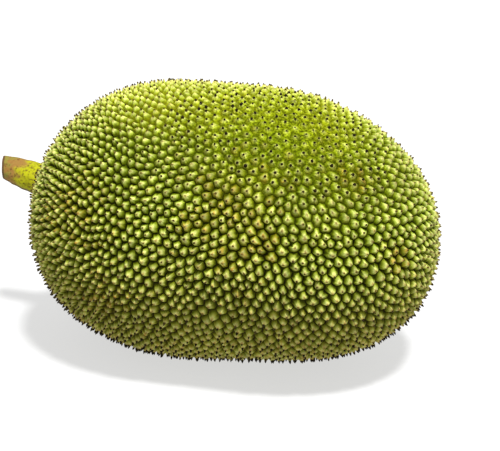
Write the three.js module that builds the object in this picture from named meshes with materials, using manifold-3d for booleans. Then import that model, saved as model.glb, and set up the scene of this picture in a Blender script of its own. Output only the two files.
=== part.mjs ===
// A whole jackfruit, picked with a stub of its stalk and lying on its side.
//
// Millimetres, +Z up. +X runs along the fruit from the stalk end to the blossom end. The origin is
// the middle of the spot that the fruit rests on, straight below the middle of its body.
//
// The fruit is one solid: a slightly square-shouldered ellipsoid whose whole rind is packed with
// pointed spines. Every spine is a pyramid whose foot meets its neighbours' feet, so the rind has
// no bare skin. The spines are fewer and larger than life, but the fruit is its real size.
// The stalk is the second solid, standing in a plain socket in the stalk end of the fruit.
import * as THREE from "three";
import { ConvexHull } from "three/addons/math/ConvexHull.js";
import { mergeVertices } from "three/addons/utils/BufferGeometryUtils.js";
import Module from "manifold-3d";

// ---- driving dimensions, in millimetres ----

const BODY = {
  halfLength: 203, // to the tips of the spines, as are the two below
  halfWidth: 142.5,
  halfHeight: 141,
  squareness: 2.27, // 2 would be a plain ellipsoid, more is squarer at the shoulders
  taper: -0.06, // the girth grows by this share towards the stalk end and shrinks to the other
  sag: -8, // how far both ends droop below the middle
  restHeight: 134, // the body's middle above the surface it rests on
};

// A slimmer middle: the share of the girth it takes off, where it is as a share of the half length,
// how far up the fruit's side that place slips towards the stalk end, and how far it reaches.
const WAIST = { depth: 0.05, at: 0.06, slip: 0.18, reach: 0.35 };

const SPINES = {
  count: 1800,
  height: 8, // of the tips above the grooves
  lean: 0.2, // how far a tip leans round the fruit, as a share of its height
  jitter: 0.3, // random shift of each spine before they are spread out, as a share of their gap
  spreadRounds: 30, // rounds of pushing neighbours apart
  meshEvery: 3, // rounds between two fresh meshes of neighbours
  push: 0.2, // share of its wish that a spine moves in one round
  crowding: 1.15, // how much wider than the mean gap every spine wants its gaps
};

// The ripest cheek, high on one side, where the spines are worn low.
const CHEEK = { toward: new THREE.Vector3(0.35, -0.45, 0.82).normalize(), spread: 0.75, wear: 0.42 };

const STALK = {
  length: 49, // out of the fruit, along its axis
  root: 12, // its length inside the fruit
  height: 17, // of its foot above the body's middle
  pitch: THREE.MathUtils.degToRad(16.5), // how steeply it rises from the fruit
  droop: 0.0022, // how fast it bends back towards level, in radians to a millimetre
  footRadius: 15.6,
  endRadius: 10.4,
  fullness: 2.4, // 1 would be a plain cone, more keeps it thick for longer
  rim: 1.8, // how far the edge of the cut end is rounded off
  steps: 7,
  sides: 20,
  gap: 0.3, // between the stalk and the walls of its socket
};

const RIND = { colour: 0x8f9a2c, roughness: 0.55 };
const BARK = { colour: 0xb09a38, roughness: 0.75 };
const GOLDEN_ANGLE = Math.PI * (3 - Math.sqrt(5));
const SEED = 11;

// ---- the body: a surface of two angles ----

// The rounded profile at an angle, as shares of the half length along and of the girth across.
function profile(along) {
  const c = Math.cos(along);
  const s = Math.sin(along);
  const n = BODY.squareness;
  const k = Math.pow(Math.pow(Math.abs(c), n) + Math.pow(Math.abs(s), n), 1 / n);
  return [c / k, s / k];
}

// What the taper and the waist make of the girth, at a share x of the half length and at an angle
// around the fruit whose sine is up.
function girthShare(x, up) {
  const fromWaist = (x - WAIST.at + WAIST.slip * up) / WAIST.reach;
  return (1 + BODY.taper * x) * (1 - WAIST.depth * Math.exp(-fromWaist * fromWaist));
}

// The point of the outer form at an angle along the fruit, 0 at the blossom end and PI at the stalk
// end, and an angle around it, from +Y towards +Z. The body's middle is the origin here.
function formPoint(along, around) {
  const [x, r] = profile(along);
  const girth = r * girthShare(x, Math.sin(around));
  return new THREE.Vector3(
    BODY.halfLength * x,
    BODY.halfWidth * girth * Math.cos(around),
    BODY.halfHeight * girth * Math.sin(around) + BODY.sag * x * x,
  );
}

// The two angles at which a line from the middle through p meets the outer form.
function anglesOf(p) {
  const x = p.x / BODY.halfLength;
  const y = p.y / BODY.halfWidth;
  const z = (p.z - BODY.sag * x * x) / BODY.halfHeight;
  const around = Math.atan2(z, y);
  const girth = girthShare(x, Math.sin(around));
  return [Math.atan2(Math.hypot(y, z) / girth, x), around];
}

// The outward normal of the outer form, from two short steps along it.
function formNormal(along, around) {
  const step = 1e-3;
  const a = THREE.MathUtils.clamp(along, 2 * step, Math.PI - 2 * step);
  const down = formPoint(a + step, around).sub(formPoint(a - step, around));
  const round = formPoint(a, around + step).sub(formPoint(a, around - step));
  return down.cross(round).normalize();
}

// ---- where the spines stand ----

// A repeatable source of random numbers from 0 to 1.
function randomFrom(seed) {
  let state = seed;
  return () => {
    state = (state + 0x6d2b79f5) | 0;
    let t = Math.imul(state ^ (state >>> 15), 1 | state);
    t = (t + Math.imul(t ^ (t >>> 7), 61 | t)) ^ t;
    return ((t ^ (t >>> 14)) >>> 0) / 4294967296;
  };
}

// The gap between spines, relative to the widest: close at the stalk end, a little closer at the tip.
function relativeGap(x) {
  const toStalk = (1 - x) / 2;
  const toBlossom = (1 + x) / 2;
  return 1.02 - 0.3 * toStalk ** 3 - 0.06 * toBlossom ** 4;
}

// Tables along the profile: for each step of its angle, the angle on a round ball that keeps shapes
// true there, and the number of spines passed so far, as a share of them all.
function profileTables(steps) {
  const ball = [0];
  const passed = [0];
  const meanGirth = Math.sqrt(BODY.halfWidth * BODY.halfHeight);
  const at = (i) => {
    const [x, r] = profile((Math.PI * i) / steps);
    return [BODY.halfLength * x, meanGirth * r * girthShare(x, 0), x];
  };
  const latitude = [0];
  for (let i = 1; i <= steps; i++) {
    const [x0, r0] = at(i - 1);
    const [x1, r1, x] = at(i);
    const arc = Math.hypot(x1 - x0, r1 - r0);
    const r = (r0 + r1) / 2;
    latitude.push(latitude[i - 1] + arc / r);
    passed.push(passed[i - 1] + (arc * r) / relativeGap(x) ** 2);
  }
  const middle = latitude[steps / 2];
  for (let i = 1; i < steps; i++) ball.push(2 * Math.atan(Math.exp(latitude[i] - middle)));
  ball.push(Math.PI);
  return { steps, ball, passed: passed.map((v) => v / passed[steps]) };
}

const TABLES = profileTables(2000);

function ballAngle(along) {
  const place = (along / Math.PI) * TABLES.steps;
  const i = Math.min(Math.floor(place), TABLES.steps - 1);
  return THREE.MathUtils.lerp(TABLES.ball[i], TABLES.ball[i + 1], place - i);
}

function angleAtShare(share) {
  const i = TABLES.passed.findIndex((v) => v > share);
  const [low, high] = [TABLES.passed[i - 1], TABLES.passed[i]];
  return (Math.PI * (i - 1 + (share - low) / (high - low))) / TABLES.steps;
}

// The triangles that join neighbouring points: the convex hull of the same points on a round ball.
function neighbourTriangles(points) {
  const onBall = points.map((p) => {
    const [along, around] = anglesOf(p);
    const t = ballAngle(along);
    return new THREE.Vector3(Math.cos(t), Math.sin(t) * Math.cos(around), Math.sin(t) * Math.sin(around));
  });
  const index = new Map(onBall.map((v, i) => [v, i]));
  return new ConvexHull().setFromPoints(onBall).faces.map((face) => {
    const first = face.edge;
    return [first, first.next, first.next.next].map((edge) => index.get(edge.head().point));
  });
}

function edgesOf(triangles) {
  const found = [];
  for (const [a, b, c] of triangles)
    for (const [i, j] of [[a, b], [b, c], [c, a]]) if (i < j) found.push([i, j]);
  return found;
}

// Where every spine stands on the outer form. They start on a golden-angle spiral round the fruit's axis, are
// shaken a little and then push each other apart. The first one stands under the body's middle.
function spinePlaces() {
  const random = randomFrom(SEED);
  const points = [];
  for (let i = 0; i < SPINES.count; i++)
    points.push(formPoint(angleAtShare((i + 0.5) / SPINES.count), i * GOLDEN_ANGLE));
  const bottom = formPoint(Math.PI / 2, -Math.PI / 2 - (SPINES.lean * SPINES.height) / BODY.halfHeight);
  const distances = points.map((p) => p.distanceTo(bottom));
  const nearest = distances.indexOf(Math.min(...distances));
  [points[0], points[nearest]] = [bottom, points[0]];
  const gapShare = (i, j) => relativeGap((points[i].x + points[j].x) / (2 * BODY.halfLength));

  let edges = [];
  for (let round = 0; round < SPINES.spreadRounds; round++) {
    if (round % SPINES.meshEvery === 0) edges = edgesOf(neighbourTriangles(points));
    let lengths = 0;
    let shares = 0;
    for (const [i, j] of edges) {
      lengths += points[i].distanceToSquared(points[j]);
      shares += gapShare(i, j) ** 2;
    }
    const gap = Math.sqrt(lengths / shares);
    const moves = points.map(() => new THREE.Vector3());
    for (const [i, j] of edges) {
      const away = points[i].clone().sub(points[j]);
      const length = away.length();
      const wish = Math.max(SPINES.crowding * gap * gapShare(i, j) - length, 0);
      away.multiplyScalar((SPINES.push * wish) / length);
      moves[i].add(away);
      moves[j].sub(away);
    }
    if (round === 0)
      for (const move of moves)
        move.set(random() - 0.5, random() - 0.5, random() - 0.5).multiplyScalar(2 * SPINES.jitter * gap);
    for (let i = 1; i < points.length; i++) points[i] = formPoint(...anglesOf(points[i].add(moves[i])));
  }
  return points;
}

// ---- the fruit ----

function spineHeight(normal) {
  const away = normal.angleTo(CHEEK.toward) / CHEEK.spread;
  return SPINES.height * (1 - CHEEK.wear * Math.exp(-away * away));
}

// The tip of the spine that stands at p: on the outer form, and leaning round the fruit's axis.
function spineTip(p) {
  const normal = formNormal(...anglesOf(p));
  const lean = SPINES.lean * spineHeight(normal);
  return p.clone().add(new THREE.Vector3(1, 0, 0).cross(normal).multiplyScalar(lean));
}

// The groove corner between three spines, their height below the outer form.
function grooveCorner(a, b, c) {
  const angles = anglesOf(a.clone().add(b).add(c).divideScalar(3));
  const normal = formNormal(...angles);
  return formPoint(...angles).addScaledVector(normal, -spineHeight(normal));
}

// The closed surface of the spines: each edge between two neighbours gives a facet to both of them.
function spinySurface() {
  const places = spinePlaces();
  const triangles = neighbourTriangles(places);
  const vertices = [
    ...places.map(spineTip),
    ...triangles.map(([a, b, c]) => grooveCorner(places[a], places[b], places[c])),
  ];
  const beside = new Map();
  triangles.forEach(([a, b, c], t) => {
    for (const [i, j] of [[a, b], [b, c], [c, a]]) beside.set(`${i},${j}`, places.length + t);
  });
  const faces = [];
  for (const [key, left] of beside) {
    const [i, j] = key.split(",").map(Number);
    faces.push(i, beside.get(`${j},${i}`), left);
  }
  const geometry = new THREE.BufferGeometry().setFromPoints(vertices).setIndex(faces);
  return geometry.translate(0, 0, BODY.restHeight);
}

// ---- the stalk ----

// The profile of the straight stub, from the axis at its foot to the axis at its cut end, as points
// of radius and distance along it. It is grown outwards by grow, and beyond says how much longer.
function stalkOutline(grow, beyond) {
  const radiusAt = (share) =>
    STALK.footRadius + (STALK.endRadius - STALK.footRadius) * share ** STALK.fullness + grow;
  const outline = [
    new THREE.Vector2(0, -STALK.root - grow),
    new THREE.Vector2(radiusAt(0), -STALK.root - grow),
  ];
  for (let i = 0; i <= STALK.steps; i++) {
    const share = i / STALK.steps;
    outline.push(new THREE.Vector2(radiusAt(share), share * (STALK.length - STALK.rim)));
  }
  outline.push(new THREE.Vector2(radiusAt(1) - STALK.rim, STALK.length + beyond));
  outline.push(new THREE.Vector2(0, STALK.length + beyond));
  return outline;
}

// The stub with its foot in the fruit, bent so that its axis leaves the fruit at the pitch angle and
// its slope falls evenly with the distance.
function stalkGeometry(grow = 0, beyond = 0) {
  const geometry = new THREE.LatheGeometry(stalkOutline(grow, beyond), STALK.sides);
  const position = geometry.getAttribute("position");
  const foot = formPoint(Math.PI, 0);
  for (let i = 0; i < position.count; i++) {
    const [side, along, up] = [position.getX(i), position.getY(i), position.getZ(i)];
    const slope = STALK.pitch - STALK.droop * along;
    const middle = STALK.pitch - (STALK.droop * along) / 2;
    position.setXYZ(
      i,
      foot.x - along * Math.cos(middle) + up * Math.sin(slope),
      side,
      BODY.restHeight + STALK.height + along * Math.sin(middle) + up * Math.cos(slope),
    );
  }
  return geometry;
}

// ---- cutting and joining ----

const wasm = await Module();
wasm.setup();

function solidFrom(geometry) {
  const bare = geometry.clone();
  for (const name of ["normal", "uv"]) bare.deleteAttribute(name);
  const merged = mergeVertices(bare, 1e-4);
  return new wasm.Manifold(
    new wasm.Mesh({
      numProp: 3,
      vertProperties: new Float32Array(merged.getAttribute("position").array),
      triVerts: new Uint32Array(merged.index.array),
    }),
  );
}

function meshFrom(name, solid, finish) {
  const { vertProperties, triVerts } = solid.getMesh();
  const geometry = new THREE.BufferGeometry();
  geometry.setAttribute("position", new THREE.BufferAttribute(vertProperties, 3));
  geometry.setIndex(new THREE.BufferAttribute(triVerts, 1));
  const flat = geometry.toNonIndexed();
  flat.computeVertexNormals();
  const material = new THREE.MeshStandardMaterial({
    color: finish.colour,
    roughness: finish.roughness,
    metalness: 0,
  });
  const mesh = new THREE.Mesh(flat, material);
  mesh.name = name;
  return mesh;
}

// Everything below the resting surface, as a block to cut away.
function belowTheRest() {
  const depth = 40;
  const block = new THREE.BoxGeometry(3 * BODY.halfLength, 3 * BODY.halfWidth, depth);
  return solidFrom(block.translate(0, 0, -depth / 2));
}

// The largest piece of a solid, without the scraps that a cut has sliced off it.
function withoutScraps(solid) {
  return solid.decompose().reduce((most, piece) => (piece.volume() > most.volume() ? piece : most));
}

const socket = solidFrom(stalkGeometry(STALK.gap, STALK.root));
const fruit = withoutScraps(solidFrom(spinySurface()).subtract(belowTheRest()).subtract(socket));
const stalk = solidFrom(stalkGeometry());

const jackfruit = new THREE.Group();
jackfruit.add(meshFrom("fruit", fruit, RIND), meshFrom("stalk", stalk, BARK));

export default jackfruit;
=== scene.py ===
"""A whole jackfruit lying on its side, on a plain studio floor.

Everything is in metres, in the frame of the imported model: +Z is up, +X runs along the fruit from
its stalk end to its blossom end, and the origin is on the resting surface, straight below the
middle of the fruit's body.
"""

import logging
import math
from dataclasses import dataclass, field
from enum import Enum
from typing import Any

import bmesh
import bpy
import numpy as np
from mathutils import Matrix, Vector


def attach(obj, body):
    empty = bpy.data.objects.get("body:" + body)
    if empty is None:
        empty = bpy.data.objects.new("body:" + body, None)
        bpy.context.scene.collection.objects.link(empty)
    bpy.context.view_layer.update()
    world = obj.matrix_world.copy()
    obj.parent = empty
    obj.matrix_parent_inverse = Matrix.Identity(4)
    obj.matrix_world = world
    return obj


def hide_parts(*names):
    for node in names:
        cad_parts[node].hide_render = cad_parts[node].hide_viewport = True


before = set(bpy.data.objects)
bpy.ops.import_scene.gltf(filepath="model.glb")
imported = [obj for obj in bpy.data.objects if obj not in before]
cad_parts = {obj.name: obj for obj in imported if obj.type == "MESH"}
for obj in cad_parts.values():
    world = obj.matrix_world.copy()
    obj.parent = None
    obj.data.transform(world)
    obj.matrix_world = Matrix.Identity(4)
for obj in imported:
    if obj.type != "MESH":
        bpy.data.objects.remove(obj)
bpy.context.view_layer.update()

MM = 0.001
GOLDEN_ANGLE = math.pi * (3 - math.sqrt(5))
LENGTHWISE = np.array([1.0, 0.0, 0.0])
log = logging.getLogger("jackfruit")

Array = np.ndarray
Tree = bpy.types.NodeTree
Socket = bpy.types.NodeSocket

# The inputs and the output of a Mix node that mixes colours.
SHARE, FIRST, SECOND, MIXED = 0, 6, 7, 2


# ---- small helpers ----


def linear(colour: str) -> tuple[float, float, float, float]:
    """Turns an sRGB hex colour into a linear one.

    Args:
        colour: The colour as "#rrggbb".

    Returns:
        Red, green and blue from 0 to 1 in linear light, and an alpha of 1.
    """
    parts = [int(colour[i : i + 2], 16) / 255 for i in (1, 3, 5)]
    return (*(p / 12.92 if p <= 0.04045 else ((p + 0.055) / 1.055) ** 2.4 for p in parts), 1.0)


def smooth_step(low: float, high: float, value: Array) -> Array:
    """Rises from 0 at low to 1 at high as 3t^2 - 2t^3.

    Args:
        low: Where the rise starts.
        high: Where it ends.
        value: The numbers to judge.

    Returns:
        One number from 0 to 1 for each value.
    """
    t = np.clip((value - low) / (high - low), 0, 1)
    return t * t * (3 - 2 * t)


def unit(vectors: Array) -> Array:
    """Scales vectors, one in each row, to a length of 1."""
    return vectors / np.maximum(np.linalg.norm(vectors, axis=-1, keepdims=True), 1e-12)


def along_skin(directions: Array, normals: Array) -> Array:
    """Lays directions down on the skin, by taking off their part along the normals.

    Args:
        directions: One direction for each normal, or one for all.
        normals: The skin's unit normals.

    Returns:
        One vector for each normal, shorter where its direction stands up from the skin.
    """
    return directions - (normals * directions).sum(axis=1, keepdims=True) * normals


def add_node(
    tree: Tree, kind: str, settings: dict[str, Any], inputs: dict[int | str, Any], output: int | str = 0
) -> Socket | None:
    """Adds a shader node with its settings and its inputs.

    Args:
        tree: The material's or world's node tree.
        kind: The node's type, without the "ShaderNode" in front.
        settings: Properties to set on the node.
        inputs: A value or another node's output for each input, by the input's name or number.
        output: The name or number of the output that is wanted.

    Returns:
        That output of the new node, or nothing where the node has none.
    """
    node = tree.nodes.new("ShaderNode" + kind)
    for name, value in settings.items():
        setattr(node, name, value)
    for name, value in inputs.items():
        if isinstance(value, Socket):
            tree.links.new(value, node.inputs[name])
        else:
            node.inputs[name].default_value = value
    return node.outputs[output] if node.outputs else None


def empty_material(name: str) -> tuple[bpy.types.Material, Tree]:
    """Makes a material with no nodes in it yet.

    Args:
        name: The real material's name.

    Returns:
        The material and its node tree.
    """
    material = bpy.data.materials.new(name)
    material.use_nodes = True
    material.node_tree.nodes.clear()
    return material, material.node_tree


def make_object(name: str, vertices: Array, faces: Array, smooth: bool) -> bpy.types.Object:
    """Makes a mesh object at the origin and puts it in the scene.

    Args:
        name: The piece's name.
        vertices: One row of x, y and z for each vertex, in metres.
        faces: One row of vertex numbers for each face, counter-clockwise from outside.
        smooth: Whether the faces are shaded smoothly.

    Returns:
        The new object.
    """
    mesh = bpy.data.meshes.new(name)
    mesh.from_pydata(vertices.tolist(), [], faces.tolist())
    mesh.polygons.foreach_set("use_smooth", np.full(len(mesh.polygons), smooth))
    mesh.update()
    piece = bpy.data.objects.new(name, mesh)
    bpy.context.scene.collection.objects.link(piece)
    return piece


def set_attribute(piece: bpy.types.Object, name: str, domain: str, values: Array) -> None:
    """Stores one number for each point or face of a piece, for its material to read.

    Args:
        piece: The mesh object.
        name: The attribute's name.
        domain: "POINT" or "FACE".
        values: The numbers.
    """
    layer = piece.data.attributes.new(name, "FLOAT", domain)
    layer.data.foreach_set("value", values.astype(np.float32))


# ---- the fruit's outer form ----


@dataclass(frozen=True)
class FruitForm:
    """The smooth form that the tips of the spines reach on average, with its middle as origin.

    It is a super-ellipsoid: at an angle a along the fruit, X = cos a / k and R = sin a / k with
    k = (|cos a|^n + |sin a|^n)^(1/n). The girth R is scaled by a taper, 1 + taper X, and by a
    waist, 1 - depth exp(-((X - at + slip sin b) / reach)^2), where b is the angle around the
    fruit from +Y towards +Z. Both ends then sink by sag X^2.
    """

    half_length: float = 202.2 * MM
    half_width: float = 141.8 * MM
    half_height: float = 140.4 * MM
    squareness: float = 2.27
    taper: float = -0.06
    sag: float = -7.9 * MM
    waist_depth: float = 0.049
    waist_at: float = 0.061
    waist_slip: float = 0.18
    waist_reach: float = 0.35
    middle: float = 134 * MM

    def profile(self, along: Array) -> tuple[Array, Array]:
        """Gives X and R of the class's formula.

        Args:
            along: Angles along the fruit, 0 at the blossom end and pi at the stalk end.

        Returns:
            The shares of the half length and of the full girth.
        """
        c, s, n = np.cos(along), np.sin(along), self.squareness
        k = (np.abs(c) ** n + np.abs(s) ** n) ** (1 / n)
        return c / k, s / k

    def girth_share(self, x: Array, up: Array) -> Array:
        """Gives the taper and the waist of the class's formula.

        Args:
            x: Shares of the half length.
            up: Sines of the angle around the fruit.

        Returns:
            The factor on the girth.
        """
        from_waist = (x - self.waist_at + self.waist_slip * up) / self.waist_reach
        return (1 + self.taper * x) * (1 - self.waist_depth * np.exp(-(from_waist**2)))

    def point(self, along: Array, around: Array) -> Array:
        """Gives the point of the form at two angles.

        Args:
            along: Angles along the fruit.
            around: Angles around it.

        Returns:
            One row of x, y and z for each pair of angles.
        """
        x, r = self.profile(along)
        girth = r * self.girth_share(x, np.sin(around))
        across = self.half_width * girth * np.cos(around)
        up = self.half_height * girth * np.sin(around) + self.sag * x * x
        return np.stack([self.half_length * x, across, up], -1)

    def angles(self, points: Array) -> tuple[Array, Array]:
        """Finds the angles of the form's points that lie over or under the given ones.

        Args:
            points: Points near the form.

        Returns:
            The angles along and around.
        """
        x = points[:, 0] / self.half_length
        y = points[:, 1] / self.half_width
        z = (points[:, 2] - self.sag * x * x) / self.half_height
        around = np.arctan2(z, y)
        girth = self.girth_share(x, np.sin(around))
        return np.arctan2(np.hypot(y, z) / girth, x), around

    def normal(self, along: Array, around: Array) -> Array:
        """Gives the outward normal, as the cross product of two short steps along the form.

        Args:
            along: Angles along the fruit.
            around: Angles around it.

        Returns:
            One unit vector for each pair of angles.
        """
        step = 1e-3
        a = np.clip(along, 2 * step, math.pi - 2 * step)
        down = self.point(a + step, around) - self.point(a - step, around)
        turn = self.point(a, around + step) - self.point(a, around - step)
        return unit(np.cross(down, turn))

    def drop(self, points: Array) -> tuple[Array, Array]:
        """Moves points onto the form, along lines through its middle.

        Args:
            points: Points near the form.

        Returns:
            The points of the form and its normals there.
        """
        angles = self.angles(points)
        return self.point(*angles), self.normal(*angles)


# ---- where the spines stand ----


@dataclass
class SpineLayout:
    """Scatters the spines over the form, so that each has about six neighbours.

    They start on a golden-angle spiral along the fruit, are shaken a little, and then push each
    other apart until all the gaps are as wide as they should be. Each spine has a size of its
    own. Towards the stalk they stand in rows, closer along the fruit than around it.
    """

    form: FruitForm
    count: int = 4700
    seed: int = 7
    # How the gaps differ: from spine to spine, from end to end, and along the rows.
    size_spread: float = 0.14
    closer_at_stalk: float = 0.3
    closer_at_blossom: float = 0.06
    rows_from: tuple[float, float] = (0.0, -0.6)
    row_closeness: float = 0.32
    # How they push each other apart. Each aims at a gap that is a little too wide.
    shake: float = 0.25
    rounds: int = 36
    mesh_every: int = 4
    push: float = 0.2
    crowding: float = 1.15
    steps: int = 4001
    ball_table: tuple[Array, Array] = field(init=False)
    places: Array = field(init=False)
    triangles: Array = field(init=False)
    sizes: Array = field(init=False)

    def gap_share(self, x: Array) -> Array:
        """Gives the gap between spines as a share of the widest one.

        It is 1 - closer_at_stalk s^3 - closer_at_blossom b^4, where s and b are the shares of the
        way to the stalk end and to the blossom end.

        Args:
            x: Shares of the half length.

        Returns:
            The relative gap at each place.
        """
        near_stalk = self.closer_at_stalk * ((1 - x) / 2) ** 3
        return 1.0 - near_stalk - self.closer_at_blossom * ((1 + x) / 2) ** 4

    def rows(self, x: Array) -> Array:
        """Gives how clear the rows are at shares x of the half length, from 0 to 1 near the stalk."""
        return smooth_step(*self.rows_from, x)

    def tables(self) -> tuple[Array, Array, Array]:
        """Steps along the profile and adds up what a round ball and the spiral need.

        Returns:
            The angles along; the angle on a round ball that keeps shapes true there, which is
            2 atan(exp u) with u the sum of arc length over radius; and the share of the spines
            that the girth, the arc length and the gap leave behind each angle.
        """
        along = np.linspace(0, math.pi, self.steps)
        x, r = self.form.profile(along)
        girth = math.sqrt(self.form.half_width * self.form.half_height)
        radius = girth * r * self.form.girth_share(x, 0 * x)
        arc = np.hypot(np.diff(self.form.half_length * x), np.diff(radius))
        mean_radius = (radius[1:] + radius[:-1]) / 2
        latitude = np.concatenate([[0], np.cumsum(arc / mean_radius)])
        ball = 2 * np.arctan(np.exp(latitude - latitude[len(along) // 2]))
        ball[0], ball[-1] = 0, math.pi
        passed = np.concatenate([[0], np.cumsum(arc * mean_radius / self.gap_share(x[1:]) ** 2)])
        return along, ball, passed / passed[-1]

    def neighbours(self, places: Array) -> Array:
        """Joins neighbouring places by the convex hull of the same places on a round ball.

        Args:
            places: Points of the form.

        Returns:
            Three vertex numbers for each triangle, counter-clockwise from outside.
        """
        along, around = self.form.angles(places)
        turn = np.interp(along, self.ball_table[0], self.ball_table[1])
        ball = np.stack(
            [np.cos(turn), np.sin(turn) * np.cos(around), np.sin(turn) * np.sin(around)], -1
        )
        mesh = bpy.data.meshes.new("hull")
        mesh.from_pydata(ball.tolist(), [], [])
        hull = bmesh.new()
        hull.from_mesh(mesh)
        bmesh.ops.convex_hull(hull, input=hull.verts)
        hull.to_mesh(mesh)
        hull.free()
        corners = np.empty(len(mesh.loops), np.int32)
        mesh.loops.foreach_get("vertex_index", corners)
        bpy.data.meshes.remove(mesh)
        triangles = corners.reshape(-1, 3)
        a, b, c = (ball[triangles[:, i]] for i in range(3))
        inward = np.einsum("ij,ij->i", np.cross(b - a, c - a), a) < 0
        triangles[inward] = triangles[inward][:, ::-1]
        return triangles

    def spread(self) -> None:
        """Finds the places, the triangles between them and the sizes of all the spines."""
        random = np.random.default_rng(self.seed)
        along, ball, passed = self.tables()
        self.ball_table = (along, ball)
        number = np.arange(self.count)
        start = np.interp((number + 0.5) / self.count, passed, along)
        places, normals = self.form.drop(self.form.point(start, number * GOLDEN_ANGLE))
        self.sizes = 1 + self.size_spread * np.clip(random.standard_normal(self.count), -2, 2)
        for turn in range(self.rounds):
            if turn % self.mesh_every == 0:
                triangles = self.neighbours(places)
                edges = np.concatenate([triangles[:, pair] for pair in ([0, 1], [1, 2], [2, 0])])
                a, b = edges[edges[:, 0] < edges[:, 1]].T
            away = places[a] - places[b]
            x = (places[a, 0] + places[b, 0]) / (2 * self.form.half_length)
            lengthwise = along_skin(LENGTHWISE, normals)
            mean_way = unit(lengthwise[a] + lengthwise[b])
            closeness = 1 + self.row_closeness * self.rows(x)
            stretch = (closeness - 1) * np.einsum("ij,ij->i", away, mean_way)
            length = np.linalg.norm(away + stretch[:, None] * mean_way, axis=1) / np.sqrt(closeness)
            wish = self.gap_share(x) * (self.sizes[a] + self.sizes[b]) / 2
            gap = math.sqrt((length**2).sum() / (wish**2).sum())
            short = np.maximum(self.crowding * gap * wish - length, 0)
            pull = away * (self.push * short / length)[:, None]
            moves = np.zeros_like(places)
            np.add.at(moves, a, pull)
            np.add.at(moves, b, -pull)
            if turn == 0:
                moves = (random.random(moves.shape) - 0.5) * 2 * self.shake * gap
            places, normals = self.form.drop(places + moves)
        self.places = places
        self.triangles = self.neighbours(places)
        log.info("spines: %d, %.1f mm apart", self.count, gap / MM)


# ---- materials ----


class Slot(Enum):
    """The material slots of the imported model."""

    RIND = "rind"
    STALK = "stalk"


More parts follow.
